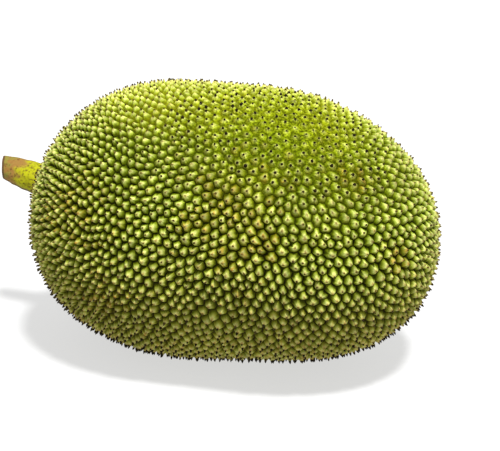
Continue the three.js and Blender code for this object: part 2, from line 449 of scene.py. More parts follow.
@dataclass(frozen=True)
class RindFinish:
    """Living jackfruit rind: tough waxy skin grown into spines.

    The thin wax gives a faint satin light on the flanks, and the grooves stay dull. Each colour
    scale gives the share of a spine's height at which a colour is reached, on the side of the fruit
    and on its crown: its dark low stops are painted shade in the grooves, and its pale stops below
    the tip are partly the paler skin there and partly a painted waxy sheen. Over it lie a yellower
    tint on the upward-facing top, which is painted sunlight, a browner, darker tint underneath, on
    the lower flanks of the spines and beside the stalk, which is painted shade, and golden-brown
    stains on some spines. Each spine has its own tone, brighter where it faces up as painted
    sunlight, and fine mottle breaks up the colour, most of all on the crown, where the skin between
    the low spines is creased.
    """

    # The dark low stops are painted shade in the grooves; the pale stops below the tip are partly the
    # paler skin and partly a painted waxy sheen; the brown at the tip is the rind's own.
    side: tuple[tuple[float, str], ...] = (
        (0.0, "#141400"),
        (0.1, "#1c2000"),
        (0.22, "#444f00"),
        (0.36, "#6b7914"),
        (0.54, "#9eac46"),
        (0.7, "#cad07a"),
        (0.82, "#b8af60"),
        (0.93, "#86743a"),
        (1.0, "#4c3e1a"),
    )
    # The crown's scale has lighter low stops, less painted shade in its shallow grooves, and the same
    # painted sheen below the tip.
    crown: tuple[tuple[float, str], ...] = (
        (0.0, "#5e6e04"),
        (0.2, "#778808"),
        (0.42, "#8c9b18"),
        (0.64, "#9eab34"),
        (0.8, "#b6bc5a"),
        (0.92, "#c8cc84"),
        (1.0, "#5a4c1c"),
    )
    # The layers over the scales: painted sunlight on top, painted shade underneath, and more
    # painted shade and the stains where the mottle noise is high.
    painted_sun: str = "#cbc41a"
    painted_sun_strength: float = 0.15
    painted_shade_tint: str = "#8c784a"
    painted_shade_tint_strength: float = 0.1
    painted_blotchy_shade: str = "#c6b092"
    stain: str = "#dabe80"
    stain_strength: float = 0.95
    blotch_noise: tuple[float, float] = (0.36, 0.64)
    # How brightness and hue vary. The mottle swings least on the side and most on the crown.
    mottle_noise: tuple[float, float] = (0.4, 0.6)
    mottle_swings: tuple[float, float] = (0.44, 1.0)
    tones: tuple[float, float] = (0.74, 1.28)
    hues: tuple[float, float] = (0.487, 0.513)
    warm_turn: float = 0.02
    # Dull in the grooves, and satin at the tips.
    roughness: tuple[float, float] = (0.85, 0.45)
    specular: float = 0.03
    # The noise uses less than half of the crease depth, which is still larger than life to show.
    crease_depth: float = 5.0 * MM
    grain_depth: float = 0.45 * MM
    grain_strength: float = 0.7
    # The real grain is finer than a millimetre, and is drawn as coarse as it needs to show.
    grain_mm: float = 1.2
    mottle_mm: float = 2.4
    patch_mm: float = 45.0
    noise_detail: float = 3.0

    def material(self) -> bpy.types.Material:
        """Builds the material.

        Returns:
            Waxy rind, coloured by each point's height on its spine, with painted shade in the grooves
            and a painted sheen below the tips, by its place on the fruit, and by each spine's tone, which
            holds painted sunlight on upward-facing spines.
        """
        material, tree = empty_material("waxy jackfruit rind")
        names = ("height", "tone_and_sun", "crown", "painted_sun", "under", "stain", "warmth")
        read = {name: add_node(tree, "Attribute", {"attribute_name": name}, {}, "Fac") for name in names}
        noise = {"Vector": add_node(tree, "TexCoord", {}, {}, "Object"), "Detail": self.noise_detail}
        grain, mottle, patch = (
            add_node(tree, "TexNoise", {}, noise | {"Scale": 1 / (size * MM)}, "Fac")
            for size in (self.grain_mm, self.mottle_mm, self.patch_mm)
        )
        colour = self.paint_light_shade_and_stains(tree, self.colour(tree, read), read, mottle)
        groove, tip = self.roughness
        roughness = {"Value": read["height"], "To Min": groove, "To Max": tip}
        creases = add_node(tree, "Math", {"operation": "MULTIPLY"}, {0: read["crown"], 1: mottle})
        bump = {"Strength": 1.0, "Distance": self.crease_depth, "Height": creases}
        bump = {"Strength": self.grain_strength, "Normal": add_node(tree, "Bump", {}, bump)}
        bump |= {"Distance": self.grain_depth, "Height": grain}
        surface = {
            "Base Color": self.vary(tree, colour, read, mottle, patch),
            "Roughness": add_node(tree, "MapRange", {}, roughness),
            "Specular IOR Level": self.specular,
            "Normal": add_node(tree, "Bump", {}, bump),
        }
        shader = add_node(tree, "BsdfPrincipled", {}, surface)
        add_node(tree, "OutputMaterial", {}, {"Surface": shader})
        return material

    def colour(self, tree: Tree, read: dict[str, Socket]) -> Socket:
        """Colours the skin by its height, between the side's scale and the crown's.

        Args:
            tree: The material's node tree.
            read: The output of each attribute, by its name.

        Returns:
            The output with the colour.
        """
        scales = []
        for stops in (self.side, self.crown):
            scale = add_node(tree, "ValToRGB", {}, {"Fac": read["height"]})
            ramp = scale.node.color_ramp.elements
            while len(ramp) < len(stops):
                ramp.new(1.0)
            for stop, (height, colour) in zip(ramp, stops):
                stop.position = height
                stop.color = linear(colour)
            scales.append(scale)
        inputs = {SHARE: read["crown"], FIRST: scales[0], SECOND: scales[1]}
        return add_node(tree, "Mix", {"data_type": "RGBA"}, inputs, MIXED)

    def paint_light_shade_and_stains(self, tree: Tree, colour: Socket, read: dict[str, Socket], mottle: Socket) -> Socket:
        """Lays painted sunlight on top and painted shade underneath evenly over a colour, and more
        painted shade and the stains in blotches.

        Args:
            tree: The material's node tree.
            colour: The output with the colour.
            read: The output of each attribute, by its name.
            mottle: The noise that gives the blotches.

        Returns:
            The output with the colour under its painted sunlight, painted shade and stains.
        """
        low, high = self.blotch_noise
        fade = {"interpolation_type": "SMOOTHSTEP"}
        blotch = add_node(tree, "MapRange", fade, {"Value": mottle, "From Min": low, "From Max": high})
        stained, painted_blotchy_shaded = (
            add_node(tree, "Math", {"operation": "MULTIPLY"}, {0: read[name], 1: blotch})
            for name in ("stain", "under")
        )
        # Painted sunlight on top, painted shade underneath, painted shade in blotches, and the real
        # stains in blotches.
        layers = (
            (read["painted_sun"], self.painted_sun, self.painted_sun_strength, "MIX"),
            (read["under"], self.painted_shade_tint, self.painted_shade_tint_strength, "MIX"),
            (painted_blotchy_shaded, self.painted_blotchy_shade, 1.0, "MULTIPLY"),
            (stained, self.stain, self.stain_strength, "MULTIPLY"),
        )
        for source, layer, strength, blend in layers:
            amount = add_node(tree, "MapRange", {}, {"Value": source, "To Max": strength})
            inputs = {SHARE: amount, FIRST: colour, SECOND: linear(layer)}
            colour = add_node(tree, "Mix", {"data_type": "RGBA", "blend_type": blend}, inputs, MIXED)
        return colour

    def vary(
        self, tree: Tree, colour: Socket, read: dict[str, Socket], mottle: Socket, patch: Socket
    ) -> Socket:
        """Varies a colour's brightness by spine, with painted sunlight on upward-facing spines, and by
        mottle, and its hue by patch and by warmth, which is partly painted shade.

        Args:
            tree: The material's node tree.
            colour: The output with the colour.
            read: The output of each attribute, by its name.
            mottle: The noise that gives the mottle, which swings further on the crown.
            patch: The noise that turns the hue.

        Returns:
            The output with the varied colour.
        """
        ranges = (
            (read["tone_and_sun"], (0.0, 1.0), self.tones),
            (read["crown"], (0.0, 1.0), self.mottle_swings),
            (mottle, self.mottle_noise, (-0.5, 0.5)),
            (patch, (0.0, 1.0), self.hues),
        )
        ends = ("Value", "From Min", "From Max", "To Min", "To Max")
        tone_and_sun, swing, mottling, hue = (
            add_node(tree, "MapRange", {}, dict(zip(ends, (source, *before, *after))))
            for source, before, after in ranges
        )
        times_plus = {"operation": "MULTIPLY_ADD"}
        mottling = add_node(tree, "Math", times_plus, {0: mottling, 1: swing, 2: 1.0})
        hue = add_node(tree, "Math", times_plus, {0: read["warmth"], 1: -self.warm_turn, 2: hue})
        value = add_node(tree, "Math", {"operation": "MULTIPLY"}, {0: tone_and_sun, 1: mottling})
        return add_node(tree, "HueSaturation", {}, {"Hue": hue, "Value": value, "Color": colour})


@dataclass(frozen=True)
class DriedTipFinish:
    """Dried flower tips: dead plant tissue, hard and dull.

    They look olive to brown on the side and nearly black on the crown; their black underneath
    is painted shade.
    """

    olive: str = "#6a5c24"
    brown: str = "#342a10"
    black: str = "#1e1808"
    roughness: float = 0.85
    specular: float = 0.12

    def material(self) -> bpy.types.Material:
        """Builds the material.

        Returns:
            Dull tissue, between olive and brown from tip to tip, and black on the crown and, as
            painted shade, where it looks down.
        """
        material, tree = empty_material("dried flower tip")
        colour = linear(self.olive)
        for name, layer in (("age", self.brown), ("dark", self.black)):
            amount = add_node(tree, "Attribute", {"attribute_name": name}, {}, "Fac")
            inputs = {SHARE: amount, FIRST: colour, SECOND: linear(layer)}
            colour = add_node(tree, "Mix", {"data_type": "RGBA"}, inputs, MIXED)
        surface = {"Base Color": colour, "Roughness": self.roughness, "Specular IOR Level": self.specular}
        shader = add_node(tree, "BsdfPrincipled", {}, surface)
        add_node(tree, "OutputMaterial", {}, {"Surface": shader})
        return material


@dataclass(frozen=True)
class BarkFinish:
    """Young jackfruit bark: yellow-green living skin at the fruit, turning to tan cork at the cut.

    It looks dull and blotched, with brown specks, a mossy stretch near the cut and a pale wood
    face inside a dark rim, and darker underneath, which is painted shade.
    """

    young: str = "#a6a612"
    blotch: str = "#747004"
    old: str = "#8e6a34"
    moss: str = "#7e7a34"
    # Painted shade: the darker brown of the bark underneath.
    under: str = "#5c4a22"
    speck: str = "#5e4220"
    rim: str = "#5a4226"
    wood: str = "#bc9c68"
    roughness: float = 0.75
    specular: float = 0.12
    speck_mm: float = 2.6
    patch_mm: float = 7.0
    noise_detail: float = 4.0
    patch_on_age: float = 0.5
    bump_depth: float = 0.4 * MM
    bump_strength: float = 0.5

    def material(self) -> bpy.types.Material:
        """Builds the material.

        Each layer gives what it follows, where that starts and fills the layer, the layer's
        strength and its colour.

        Returns:
            Dull bark whose colour follows the distance along the stalk, with blotches and specks.
        """
        material, tree = empty_material("jackfruit stalk bark")
        names = ("distance", "face", "down")
        read = {name: add_node(tree, "Attribute", {"attribute_name": name}, {}, "Fac") for name in names}
        noise = {"Vector": add_node(tree, "TexCoord", {}, {}, "Object"), "Detail": self.noise_detail}
        speck, patch = (
            add_node(tree, "TexNoise", {}, noise | {"Scale": 1 / (size * MM)}, "Fac")
            for size in (self.speck_mm, self.patch_mm)
        )
        aging = {0: patch, 1: self.patch_on_age, 2: read["distance"]}
        aged = add_node(tree, "Math", {"operation": "MULTIPLY_ADD"}, aging)
        mossy = add_node(tree, "Math", {"operation": "MULTIPLY"}, {0: read["distance"], 1: patch})
        layers = (
            (speck, 0.42, 0.68, 0.75, self.blotch),
            (aged, 0.66, 0.96, 1.0, self.old),
            (mossy, 0.36, 0.52, 0.8, self.moss),
            # Painted shade: the bark darkens where it looks down.
            (read["down"], 0.0, 0.85, 1.0, self.under),
            (speck, 0.53, 0.7, 0.7, self.speck),
            (read["face"], 0.0, 0.4, 1.0, self.rim),
            (read["face"], 0.6, 1.0, 1.0, self.wood),
        )
        colour = linear(self.young)
        for source, low, high, strength, layer in layers:
            amount = {"Value": source, "From Min": low, "From Max": high, "To Max": strength}
            amount = add_node(tree, "MapRange", {"interpolation_type": "SMOOTHSTEP"}, amount)
            inputs = {SHARE: amount, FIRST: colour, SECOND: linear(layer)}
            colour = add_node(tree, "Mix", {"data_type": "RGBA"}, inputs, MIXED)
        bump = {"Strength": self.bump_strength, "Distance": self.bump_depth, "Height": speck}
        surface = {
            "Base Color": colour,
            "Roughness": self.roughness,
            "Specular IOR Level": self.specular,
            "Normal": add_node(tree, "Bump", {}, bump),
        }
        shader = add_node(tree, "BsdfPrincipled", {}, surface)
        add_node(tree, "OutputMaterial", {}, {"Surface": shader})
        return material


# ---- the stalk ----


@dataclass
class Stalk:
    """The stub of stalk: a tapered, slightly bent and uneven woody stem with a cut end."""

    form: FruitForm
    length: float = 47.4 * MM
    root: float = 12 * MM
    height: float = 17 * MM
    pitch: float = math.radians(16.5)
    droop: float = 3.2
    foot_radius: float = 16.2 * MM
    end_radius: float = 11.8 * MM
    fullness: float = 2.4
    rim: float = 1.2 * MM
    dish: float = 0.8 * MM
    cut_turn: float = math.radians(20)
    cut_from: float = 28 * MM
    # The bark's relief. Each swelling is a height, a number of waves around the stalk, and the
    # radians of wave for each metre along it.
    swellings: tuple[tuple[float, int, float], ...] = (
        (0.35 * MM, 3, 50.0),
        (0.22 * MM, 7, -110.0),
        (0.18 * MM, 2, 500.0),
        (0.1 * MM, 13, 210.0),
    )
    inset: float = 0.5 * MM
    knot_height: float = 0.9 * MM
    knot_at: float = 14 * MM
    knot_reach: tuple[float, float] = (3.5 * MM, 0.5)
    # Points of the fruit that are farther behind the stalk's foot aren't near the stalk.
    behind: float = 30 * MM
    # What the colour follows. Each age wave is a height, a number of waves and their turn.
    age_waves: tuple[tuple[float, int, float], ...] = ((0.06, 3, 1.3), (0.04, 7, 0.0))
    age_on_top: float = 0.16
    top_from: tuple[float, float] = (0.5, 0.95)
    down_from: tuple[float, float] = (-0.35, -1.0)
    face_from: tuple[float, float] = (0.98, 0.9)
    dark_rim: float = 0.5
    rims_darkened: float = 3.0
    # The grid.
    around_steps: int = 96
    along_steps: int = 60
    rim_steps: int = 6
    face_steps: int = 8

    def axis(self, along: Array) -> tuple[Array, Array, Array]:
        """Gives the stalk's bent middle line.

        It leaves the fruit at the pitch angle, and its slope falls evenly with the distance.

        Args:
            along: Distances from the stalk's foot.

        Returns:
            The points of the line, the direction along it and the direction up across it.
        """
        mean_slope = self.pitch - self.droop * along / 2
        slope = self.pitch - self.droop * along
        foot = self.form.point(np.array(math.pi), np.array(0.0))
        x = foot[0] - along * np.cos(mean_slope)
        z = self.form.middle + self.height + along * np.sin(mean_slope)
        points = np.stack([x, 0 * x, z], -1)
        onward = np.stack([-np.cos(slope), 0 * slope, np.sin(slope)], -1)
        upward = np.stack([np.sin(slope), 0 * slope, np.cos(slope)], -1)
        return points, onward, upward

    def from_foot(self, points: Array) -> tuple[Array, Array]:
        """Measures points of the fruit from the stalk's foot.

        Args:
            points: Points of the fruit.

        Returns:
            The distances outward from the foot, and the distances from the line on which the
            stalk leaves the fruit, as shares of the foot's radius, or infinite far behind it.
        """
        foot, onward, _ = self.axis(np.array([0.0]))
        offset = points - foot
        along = offset @ onward[0]
        across = np.linalg.norm(offset - along[:, None] * onward, axis=1) / self.foot_radius
        return along, np.where(along > -self.behind, across, np.inf)

    def radius(self, along: Array) -> Array:
        """Gives the radius, foot + (end - foot) t^fullness, where t is the share of the length."""
        share = np.clip(along / (self.length - self.rim), 0, 1)
        return self.foot_radius + (self.end_radius - self.foot_radius) * share**self.fullness

    def rings(self) -> tuple[Array, Array]:
        """Runs along the bark, round the rim as a quarter circle, and over the cut face.

        Returns:
            The distance from the foot and the radius of each ring.
        """
        side = np.linspace(-self.root, self.length - self.rim, self.along_steps)
        quarter = np.linspace(0, math.pi / 2, self.rim_steps + 1)[1:]
        inward = np.linspace(1, 0, self.face_steps + 2)[1:-1]
        end, rim = self.end_radius, self.rim
        turn = self.length - rim * (1 - np.sin(quarter))
        along = np.concatenate([side, turn, np.full(self.face_steps, self.length)])
        radius = [self.radius(side), end - rim * (1 - np.cos(quarter)), (end - rim) * inward]
        return along, np.concatenate(radius)

    def swelling(self, a: Array, s: Array) -> Array:
        """Gives how far the bark stands out from the tapered form.

        It is the sum of height sin(waves a + turn s) over the swellings, plus a knot on top,
        knot_height exp(-t^2), less the inset.

        Args:
            a: Angles around the stalk.
            s: Distances from its foot.

        Returns:
            The height of the bark at each place.
        """
        waves = sum(height * np.sin(count * a + turn * s) for height, count, turn in self.swellings)
        along, around = self.knot_reach
        from_knot = ((s - self.knot_at) / along) ** 2 + ((a - math.pi / 2) / around) ** 2
        return waves + self.knot_height * np.exp(-from_knot) - self.inset

    def build(self) -> bpy.types.Object:
        """Builds the stalk as one closed surface, from a pole in the fruit to one in the cut.

        The cut face sinks by dish (1 - t^2), where t is the share of the radius. The cut is
        upright and turned by cut_turn about the vertical, so at an angle a around, and a slope s
        of the axis, the stalk is longer by r (sin a tan s - tan(cut_turn) cos a / cos s), fading
        in towards it.

        Returns:
            The stalk's object, with its attributes for the material.
        """
        along, radius = self.rings()
        share = radius / self.end_radius
        angle = np.linspace(0, 2 * math.pi, self.around_steps, endpoint=False)
        a, s = np.meshgrid(angle, along)
        r = radius[:, None] + self.swelling(a, s) * share.clip(0, 1)[:, None]
        sunk = self.dish * (1 - share**2) * (along >= self.length)
        points, onward, upward = self.axis(along - sunk)
        spoke = np.cos(a)[..., None] * np.cross(upward, onward)[:, None]
        spoke = spoke + np.sin(a)[..., None] * upward[:, None]
        slope = np.arctan2(onward[:, 2], -onward[:, 0])[:, None]
        longer = np.sin(a) * np.tan(slope) - math.tan(self.cut_turn) * np.cos(a) / np.cos(slope)
        longer *= r * smooth_step(self.cut_from, self.length - self.rim, s)
        skin = points[:, None] + r[..., None] * spoke + longer[..., None] * onward[:, None]
        poles = self.axis(np.array([-self.root, self.length - self.dish]))[0]

        index = np.arange(a.size).reshape(a.shape)
        right = np.roll(index, -1, axis=1)
        quads = np.stack([index[:-1], right[:-1], right[1:], index[1:]], -1).reshape(-1, 4)
        foot, middle = np.full((2, self.around_steps), [[a.size], [a.size + 1]])
        start = np.stack([foot, right[0], index[0]], -1)
        stop = np.stack([middle, index[-1], right[-1]], -1)
        faces = np.concatenate([quads[:, [0, 1, 2]], quads[:, [0, 2, 3]], start, stop])
        vertices = np.concatenate([skin.reshape(-1, 3), poles])
        stalk = make_object("stalk_stub", vertices, faces, smooth=True)
        self.mark(stalk, a, s, share)
        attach(stalk, "root")
        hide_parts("stalk")
        return stalk

    def mark(self, stalk: bpy.types.Object, a: Array, s: Array, share: Array) -> None:
        """Stores what the bark's colour follows.

        That is the share of the way to the cut, which is wavy around the stalk and further on
        its top, the nearness of the cut face, and how far the bark looks down, for painted shade.

        Args:
            stalk: The stalk's object.
            a: Angles around the stalk.
            s: Distances from its foot.
            share: The radius of each ring as a share of the end's.
        """
        wavy = sum(height * np.sin(count * a + turn) for height, count, turn in self.age_waves)
        wavy += self.age_on_top * smooth_step(*self.top_from, np.sin(a))
        rim_start = self.length - self.rims_darkened * self.rim
        near_cut = self.dark_rim * smooth_step(rim_start, self.length - self.rim, s)
        face = smooth_step(*self.face_from, share)[:, None] * (s > 0)
        marks = (
            ("distance", np.clip(s / self.length + wavy, 0, 1), [0, 1]),
            ("face", np.maximum(near_cut, face), [0, 1]),
            ("down", smooth_step(*self.down_from, np.sin(a)), [0, 0]),
        )
        for name, values, at_poles in marks:
            set_attribute(stalk, name, "POINT", np.append(values, at_poles))

    def dress(self, stalk: bpy.types.Object, finish: BarkFinish) -> None:
        """Gives the stalk its bark."""
        stalk.data.materials.append(finish.material())


# ---- the rind ----


@dataclass(frozen=True)
class Blemish:
    """A patch of rind where some of the spines are rubbed or scarred.

    Args:
        x: Its place along the fruit, from the body's middle.
        y: Its place across.
        z: Its place above the body's middle.
        reach: How far it spreads.
        share: The share of the spines that are stained at its middle.
    """

    x: float
    y: float
    z: float
    reach: float
    share: float


@dataclass(frozen=True)
class Sectors:
    """The sectors of all the spines, one for each spine and each of its neighbours.

    A sector lies between two ridges, which run down to the pits on its left and its right, and
    ends at the saddle between the spine and that neighbour.

    Args:
        spine: The number of each sector's spine.
        neighbour: The number of its neighbour.
        on_right: The number of the same spine's next sector on the right.
        pit: The number of the pit on its left.
        saddle: The number of its saddle.
        saddle_sector: The number of one of the two sectors at each saddle.
    """

    spine: Array
    neighbour: Array
    on_right: Array
    pit: Array
    saddle: Array
    saddle_sector: Array

    @classmethod
    def between(cls, triangles: Array) -> "Sectors":
        """Finds the sectors from the triangles between the spines.

        Each side of each triangle is the sector of the spine at its start. The triangle itself is
        the pit on its left, and the same side of the next triangle starts the sector's neighbour.

        Args:
            triangles: Three spine numbers for each triangle, counter-clockwise from outside.

        Returns:
            The sectors.
        """
        spine, neighbour = triangles.ravel(), triangles[:, [1, 2, 0]].ravel()
        number = np.arange(len(spine))
        name, name_across = spine * len(spine) + neighbour, neighbour * len(spine) + spine
        order = np.argsort(name)
        across = order[np.searchsorted(name[order], name_across)]
        on_right = (number - number % 3 + (number + 1) % 3)[across]
        saddle_sector, saddle = np.unique(np.minimum(number, across), return_inverse=True)
        return cls(spine, neighbour, on_right, number // 3, saddle, saddle_sector)

    def facets(self, spines: int) -> tuple[list[Array], list[Array]]:
        """Gives the six triangles of every sector, and the two edges of the ridge on its left.

        The vertices are numbered in this order: the tips of the spines, the ring's corner and the
        ring's middle point of every sector, the pits and the saddles.

        Args:
            spines: How many spines there are.

        Returns:
            Six arrays of three vertices for each sector, and two arrays of two for each.
        """
        sides = len(self.spine)
        corner = spines + np.arange(sides)
        middle = corner + sides
        pit = spines + 2 * sides + self.pit
        saddle = spines + 2 * sides + sides // 3 + self.saddle
        right_corner, right_pit = corner[self.on_right], pit[self.on_right]
        triangles = (
            (self.spine, right_corner, middle),
            (self.spine, middle, corner),
            (right_corner, right_pit, middle),
            (middle, pit, corner),
            (right_pit, saddle, middle),
            (middle, saddle, pit),
        )
        ridges = ((self.spine, corner), (corner, pit))
        return [np.stack(t, -1) for t in triangles], [np.stack(r, -1) for r in ridges]


@dataclass
class Rind:
    """The spiny rind, one closed skin in which each spine is a pyramid on a drop-shaped foot.

    A spine's cell is bounded by the pits, where three spines meet, and by the saddles, between
    two of them. The spine stands on a ring, with a corner towards each pit and a point towards
    each saddle, and each facet runs straight from the ring up to the tip. Every vertex starts on
    the outer form, sinks along the normal by its depth times (1 - relief), and leans with its
    spine by the lean times relief: away from the crown, and a little at random.
    """

    form: FruitForm
    layout: SpineLayout
    stalk: Stalk
    seed: int = 23
    # The depth of the grooves, and the crown, where they are shallow.
    depth: float = 6.8 * MM
    crown_depth: float = 0.38
    crown_at: tuple[float, float, float] = (75 * MM, -55 * MM, 115 * MM)
    crown_reach: tuple[float, float, float] = (98 * MM, 62 * MM, 58 * MM)
    # How the spines lean and differ, as shares of the depth. Farther from the crown's middle than
    # crest_from, their crests and their lean are at their full.
    lean: float = 0.16
    lean_spread: float = 0.15
    height_spread: float = 0.2
    crest_from: float = 45 * MM
    tip_relief: float = 1.1
    tip_lean: float = 0.8
    # The ring at a spine's foot: its reach to the cell's border, and its relief.
    ring_reach: float = 0.77
    ring_round: float = 1.08
    ring_crest: float = 0.16
    ring_notch: float = 0.16
    ring_spread: float = 0.16
    ring_limit: float = 0.96
    ring_relief: float = 0.34
    notch_relief: float = 0.35
    pit_relief: float = 0.08
    crisp_share: float = 0.5
    # The rows near the stalk, where the spines are joined, slimmer, deeper cut and upright.
    row_relief: float = 0.3
    row_lift: float = 0.6
    row_deeper: float = 0.12
    row_slimmer: float = 0.16
    row_upright: float = 0.7
    # The stalk's socket, by the share of its foot's radius, and the air above the floor.
    socket_edge: tuple[float, float] = (1.02, 0.9)
    floor_gap: float = 0.2 * MM
    # Painted shade, painted sunlight and the crown's black tips, each from where it starts to
    # where it is full.
    under_from: tuple[float, float] = (0.4, -0.75)
    shaded_from: tuple[float, float] = (0.1, 0.9)
    shaded_share: float = 0.8
    row_shade: float = 0.2
    row_shade_from: tuple[float, float] = (0.8, 0.1)
    # Painted sunlight: a yellower tint where the rind faces up.
    painted_sun_from: tuple[float, float] = (0.75, 0.99)
    sunny_from: tuple[float, float] = (0.7, 0.97)
    sunny_share: float = 0.32
    dark_crown: tuple[float, float] = (0.1, 0.45)
    # Stains, and browning: real where it follows the stains, painted shade where it follows the
    # shade underneath.
    under_warmth: float = 0.5
    stain_fade: float = 0.3
    stain_bias: float = 0.3
    common_stain: float = 0.03
    blemishes: tuple[Blemish, ...] = (
        Blemish(-0.115, -0.108, 0.018, 0.045, 0.7),
        Blemish(0.046, -0.130, 0.048, 0.055, 0.7),
        Blemish(0.142, -0.063, 0.078, 0.016, 0.8),
        Blemish(0.182, -0.066, 0.009, 0.012, 1.0),
        Blemish(-0.079, -0.127, -0.051, 0.030, 0.7),
        Blemish(0.060, 0.120, 0.050, 0.040, 0.6),
        Blemish(-0.120, 0.070, -0.060, 0.035, 0.6),
    )
    tips: Array = field(init=False)
    tip_axes: Array = field(init=False)
    tip_crown: Array = field(init=False)

    def crown(self, places: Array) -> Array:
        """Gives 1 on the crown, the smooth upper cheek, falling off around it as exp(-t^2)."""
        away = (places - self.crown_at) / self.crown_reach
        return np.exp(-(away**2).sum(axis=1))

    def in_rows(self, places: Array) -> Array:
        """Gives how clear the rows of spines are at each place, from 0 to 1 near the stalk."""
        return self.layout.rows(places[:, 0] / self.form.half_length)

    def local_depth(self, places: Array) -> Array:
        """Gives the depth of the grooves, less at the crown and more towards the stalk."""
        share = 1 - (1 - self.crown_depth) * self.crown(places)
        return self.depth * (share * (1 + self.row_deeper * self.in_rows(places)))

    def build(self) -> bpy.types.Object:
        """Builds the rind.

        Returns:
            The rind's object, with its attributes for the material.
        """
        random = np.random.default_rng(self.seed)
        places, triangles = self.layout.places, self.layout.triangles
        sectors = Sectors.between(triangles)
        spine, saddles = sectors.spine, sectors.saddle_sector
        count, sides, pits = len(places), len(spine), len(triangles)

        pit_places = places[triangles].mean(axis=1)
        toward_pit = pit_places[sectors.pit] - places[spine]
        toward_saddle = (places[sectors.neighbour] - places[spine]) / 2
        normals = self.form.drop(places)[1]
        crownward = along_skin(self.crown_at - places, normals)
        crested = np.clip(np.linalg.norm(crownward, axis=1) / self.crest_from, 0, 1)
        crest_way = unit(crownward) * crested[:, None]
        rows = self.rows(unit(toward_saddle), places[spine], normals[spine])

        ring_way = np.concatenate([toward_pit, toward_saddle])
        ring_spine = np.concatenate([spine, spine])
        facing = np.einsum("ij,ij->i", unit(ring_way), crest_way[ring_spine])
        ring_reach, ring_relief = self.ring(facing, random)
        ring_reach[sides:] *= self.ring_round
        ring_reach *= 1 - self.row_slimmer * self.in_rows(places)[ring_spine]
        ring_relief[sides:] += self.row_lift * rows
        ring_places = places[ring_spine] + ring_reach[:, None] * ring_way
        saddle_places = (places[spine] + toward_saddle)[saddles]
        rough = np.concatenate([places, ring_places, pit_places, saddle_places])
        base, normals = self.form.drop(rough)

        tallness = 1 - self.height_spread * random.random(count)
        pit_relief = self.pit_relief * random.random(pits)
        relief = [self.tip_relief * tallness, ring_relief * tallness[ring_spine]]
        relief = np.concatenate([*relief, pit_relief, rows[saddles]])
        depth = self.local_depth(base)
        own = random.standard_normal((count, 3)) * self.lean_spread
        upright = 1 - self.row_upright * self.in_rows(places)
        lean = along_skin(own, normals[:count]) - self.lean * upright[:, None] * crest_way
        lean = lean * depth[:count, None]
        leans = np.concatenate([lean, lean[ring_spine], np.zeros((pits + len(saddles), 3))])
        points = base - normals * (depth * (1 - relief))[:, None] + leans * relief[:, None]
        points[:, 2] += self.form.middle
        points = self.socket(points)
        points[:, 2] = np.maximum(points[:, 2], self.floor_gap)

        facets, ridges = sectors.facets(count)
        rind = make_object("spiny_rind", points, np.concatenate(facets), smooth=True)
        crisp = random.random(sides) < self.crisp_share
        self.sharpen(rind, np.concatenate([ridge[crisp] for ridge in ridges]))

        height = np.concatenate([np.ones(count), ring_relief, pit_relief, rows[saddles]])
        crown = self.crown(base)
        marks = {"height": height, "crown": crown} | self.shade_sun_and_browning(base, normals, facing)
        for name, values in marks.items():
            set_attribute(rind, name, "POINT", values)
        stained = (self.stained_share(places) - random.random(count)) / self.stain_fade
        # Painted sunlight: a spine's tone is a random share of its own plus a brighter share where it
        # faces up, away from the crown.
        sunny = smooth_step(*self.sunny_from, normals[:count, 2]) * (1 - crown[:count] ** 2)
        tone_and_sun = (1 - self.sunny_share) * random.random(count) + self.sunny_share * sunny
        for name, values in (("stain", np.clip(stained + self.stain_bias, 0, 1)), ("tone_and_sun", tone_and_sun)):
            set_attribute(rind, name, "FACE", np.tile(values[spine], len(facets)))
        self.tips = points[:count]
        self.tip_crown = smooth_step(*self.dark_crown, crown[:count])
        self.tip_axes = unit(normals[:count] + self.tip_lean * lean / self.depth)
        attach(rind, "root")
        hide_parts("fruit")
        return rind

    def shade_sun_and_browning(self, base: Array, normals: Array, facing: Array) -> dict[str, Array]:
        """Gives the painted shade underneath, the painted sunlight on top, and the browning.

        The lower flank of each spine, away from the crown, gets painted shade too, and so, a
        little, does the side near the stalk. The browning follows the blemishes, which are real
        stains, and the painted shade.

        Args:
            base: The vertices' places on the outer form, with those of the rings after the
                spines' own.
            normals: The form's normals there.
            facing: The cosine to the crown for each point of the rings.

        Returns:
            A number from 0 to 1 for each vertex, by the attribute's name.
        """
        up, count = normals[:, 2], self.layout.count
        flank = np.zeros(len(base))
        flank[count : count + len(facing)] = smooth_step(*self.shaded_from, -facing)
        beside_stalk = self.in_rows(base) * smooth_step(*self.row_shade_from, up)
        shades = [self.shaded_share * flank, self.row_shade * beside_stalk]
        under = np.max([*shades, smooth_step(*self.under_from, up)], axis=0)
        warmth = np.maximum(self.stained_share(base), self.under_warmth * under)
        return {"under": under, "painted_sun": smooth_step(*self.painted_sun_from, up), "warmth": warmth}

    def ring(self, facing: Array, random: np.random.Generator) -> tuple[Array, Array]:
        """Gives the drop shape of a spine's foot, which is drawn out towards the crown.

        With c the cosine between the way to the ring's point and the way to the crown, or 0 where
        it is negative, and v = 4c(1 - c), the ring reaches ring_reach + ring_crest c^4
        - ring_notch v of the way to the cell's border, give or take half of ring_spread, and
        stands ring_relief (1 - notch_relief v) high.

        Args:
            facing: The cosine for each point of the ring.
            random: The source of random numbers.

        Returns:
            The reach and the relief of each point.
        """
        c = np.clip(facing, 0, 1)
        notch = 4 * c * (1 - c)
        reach = self.ring_reach + self.ring_crest * c**4 - self.ring_notch * notch
        reach = reach * (1 + self.ring_spread * (random.random(len(facing)) - 0.5))
        return np.minimum(reach, self.ring_limit), self.ring_relief * (1 - self.notch_relief * notch)

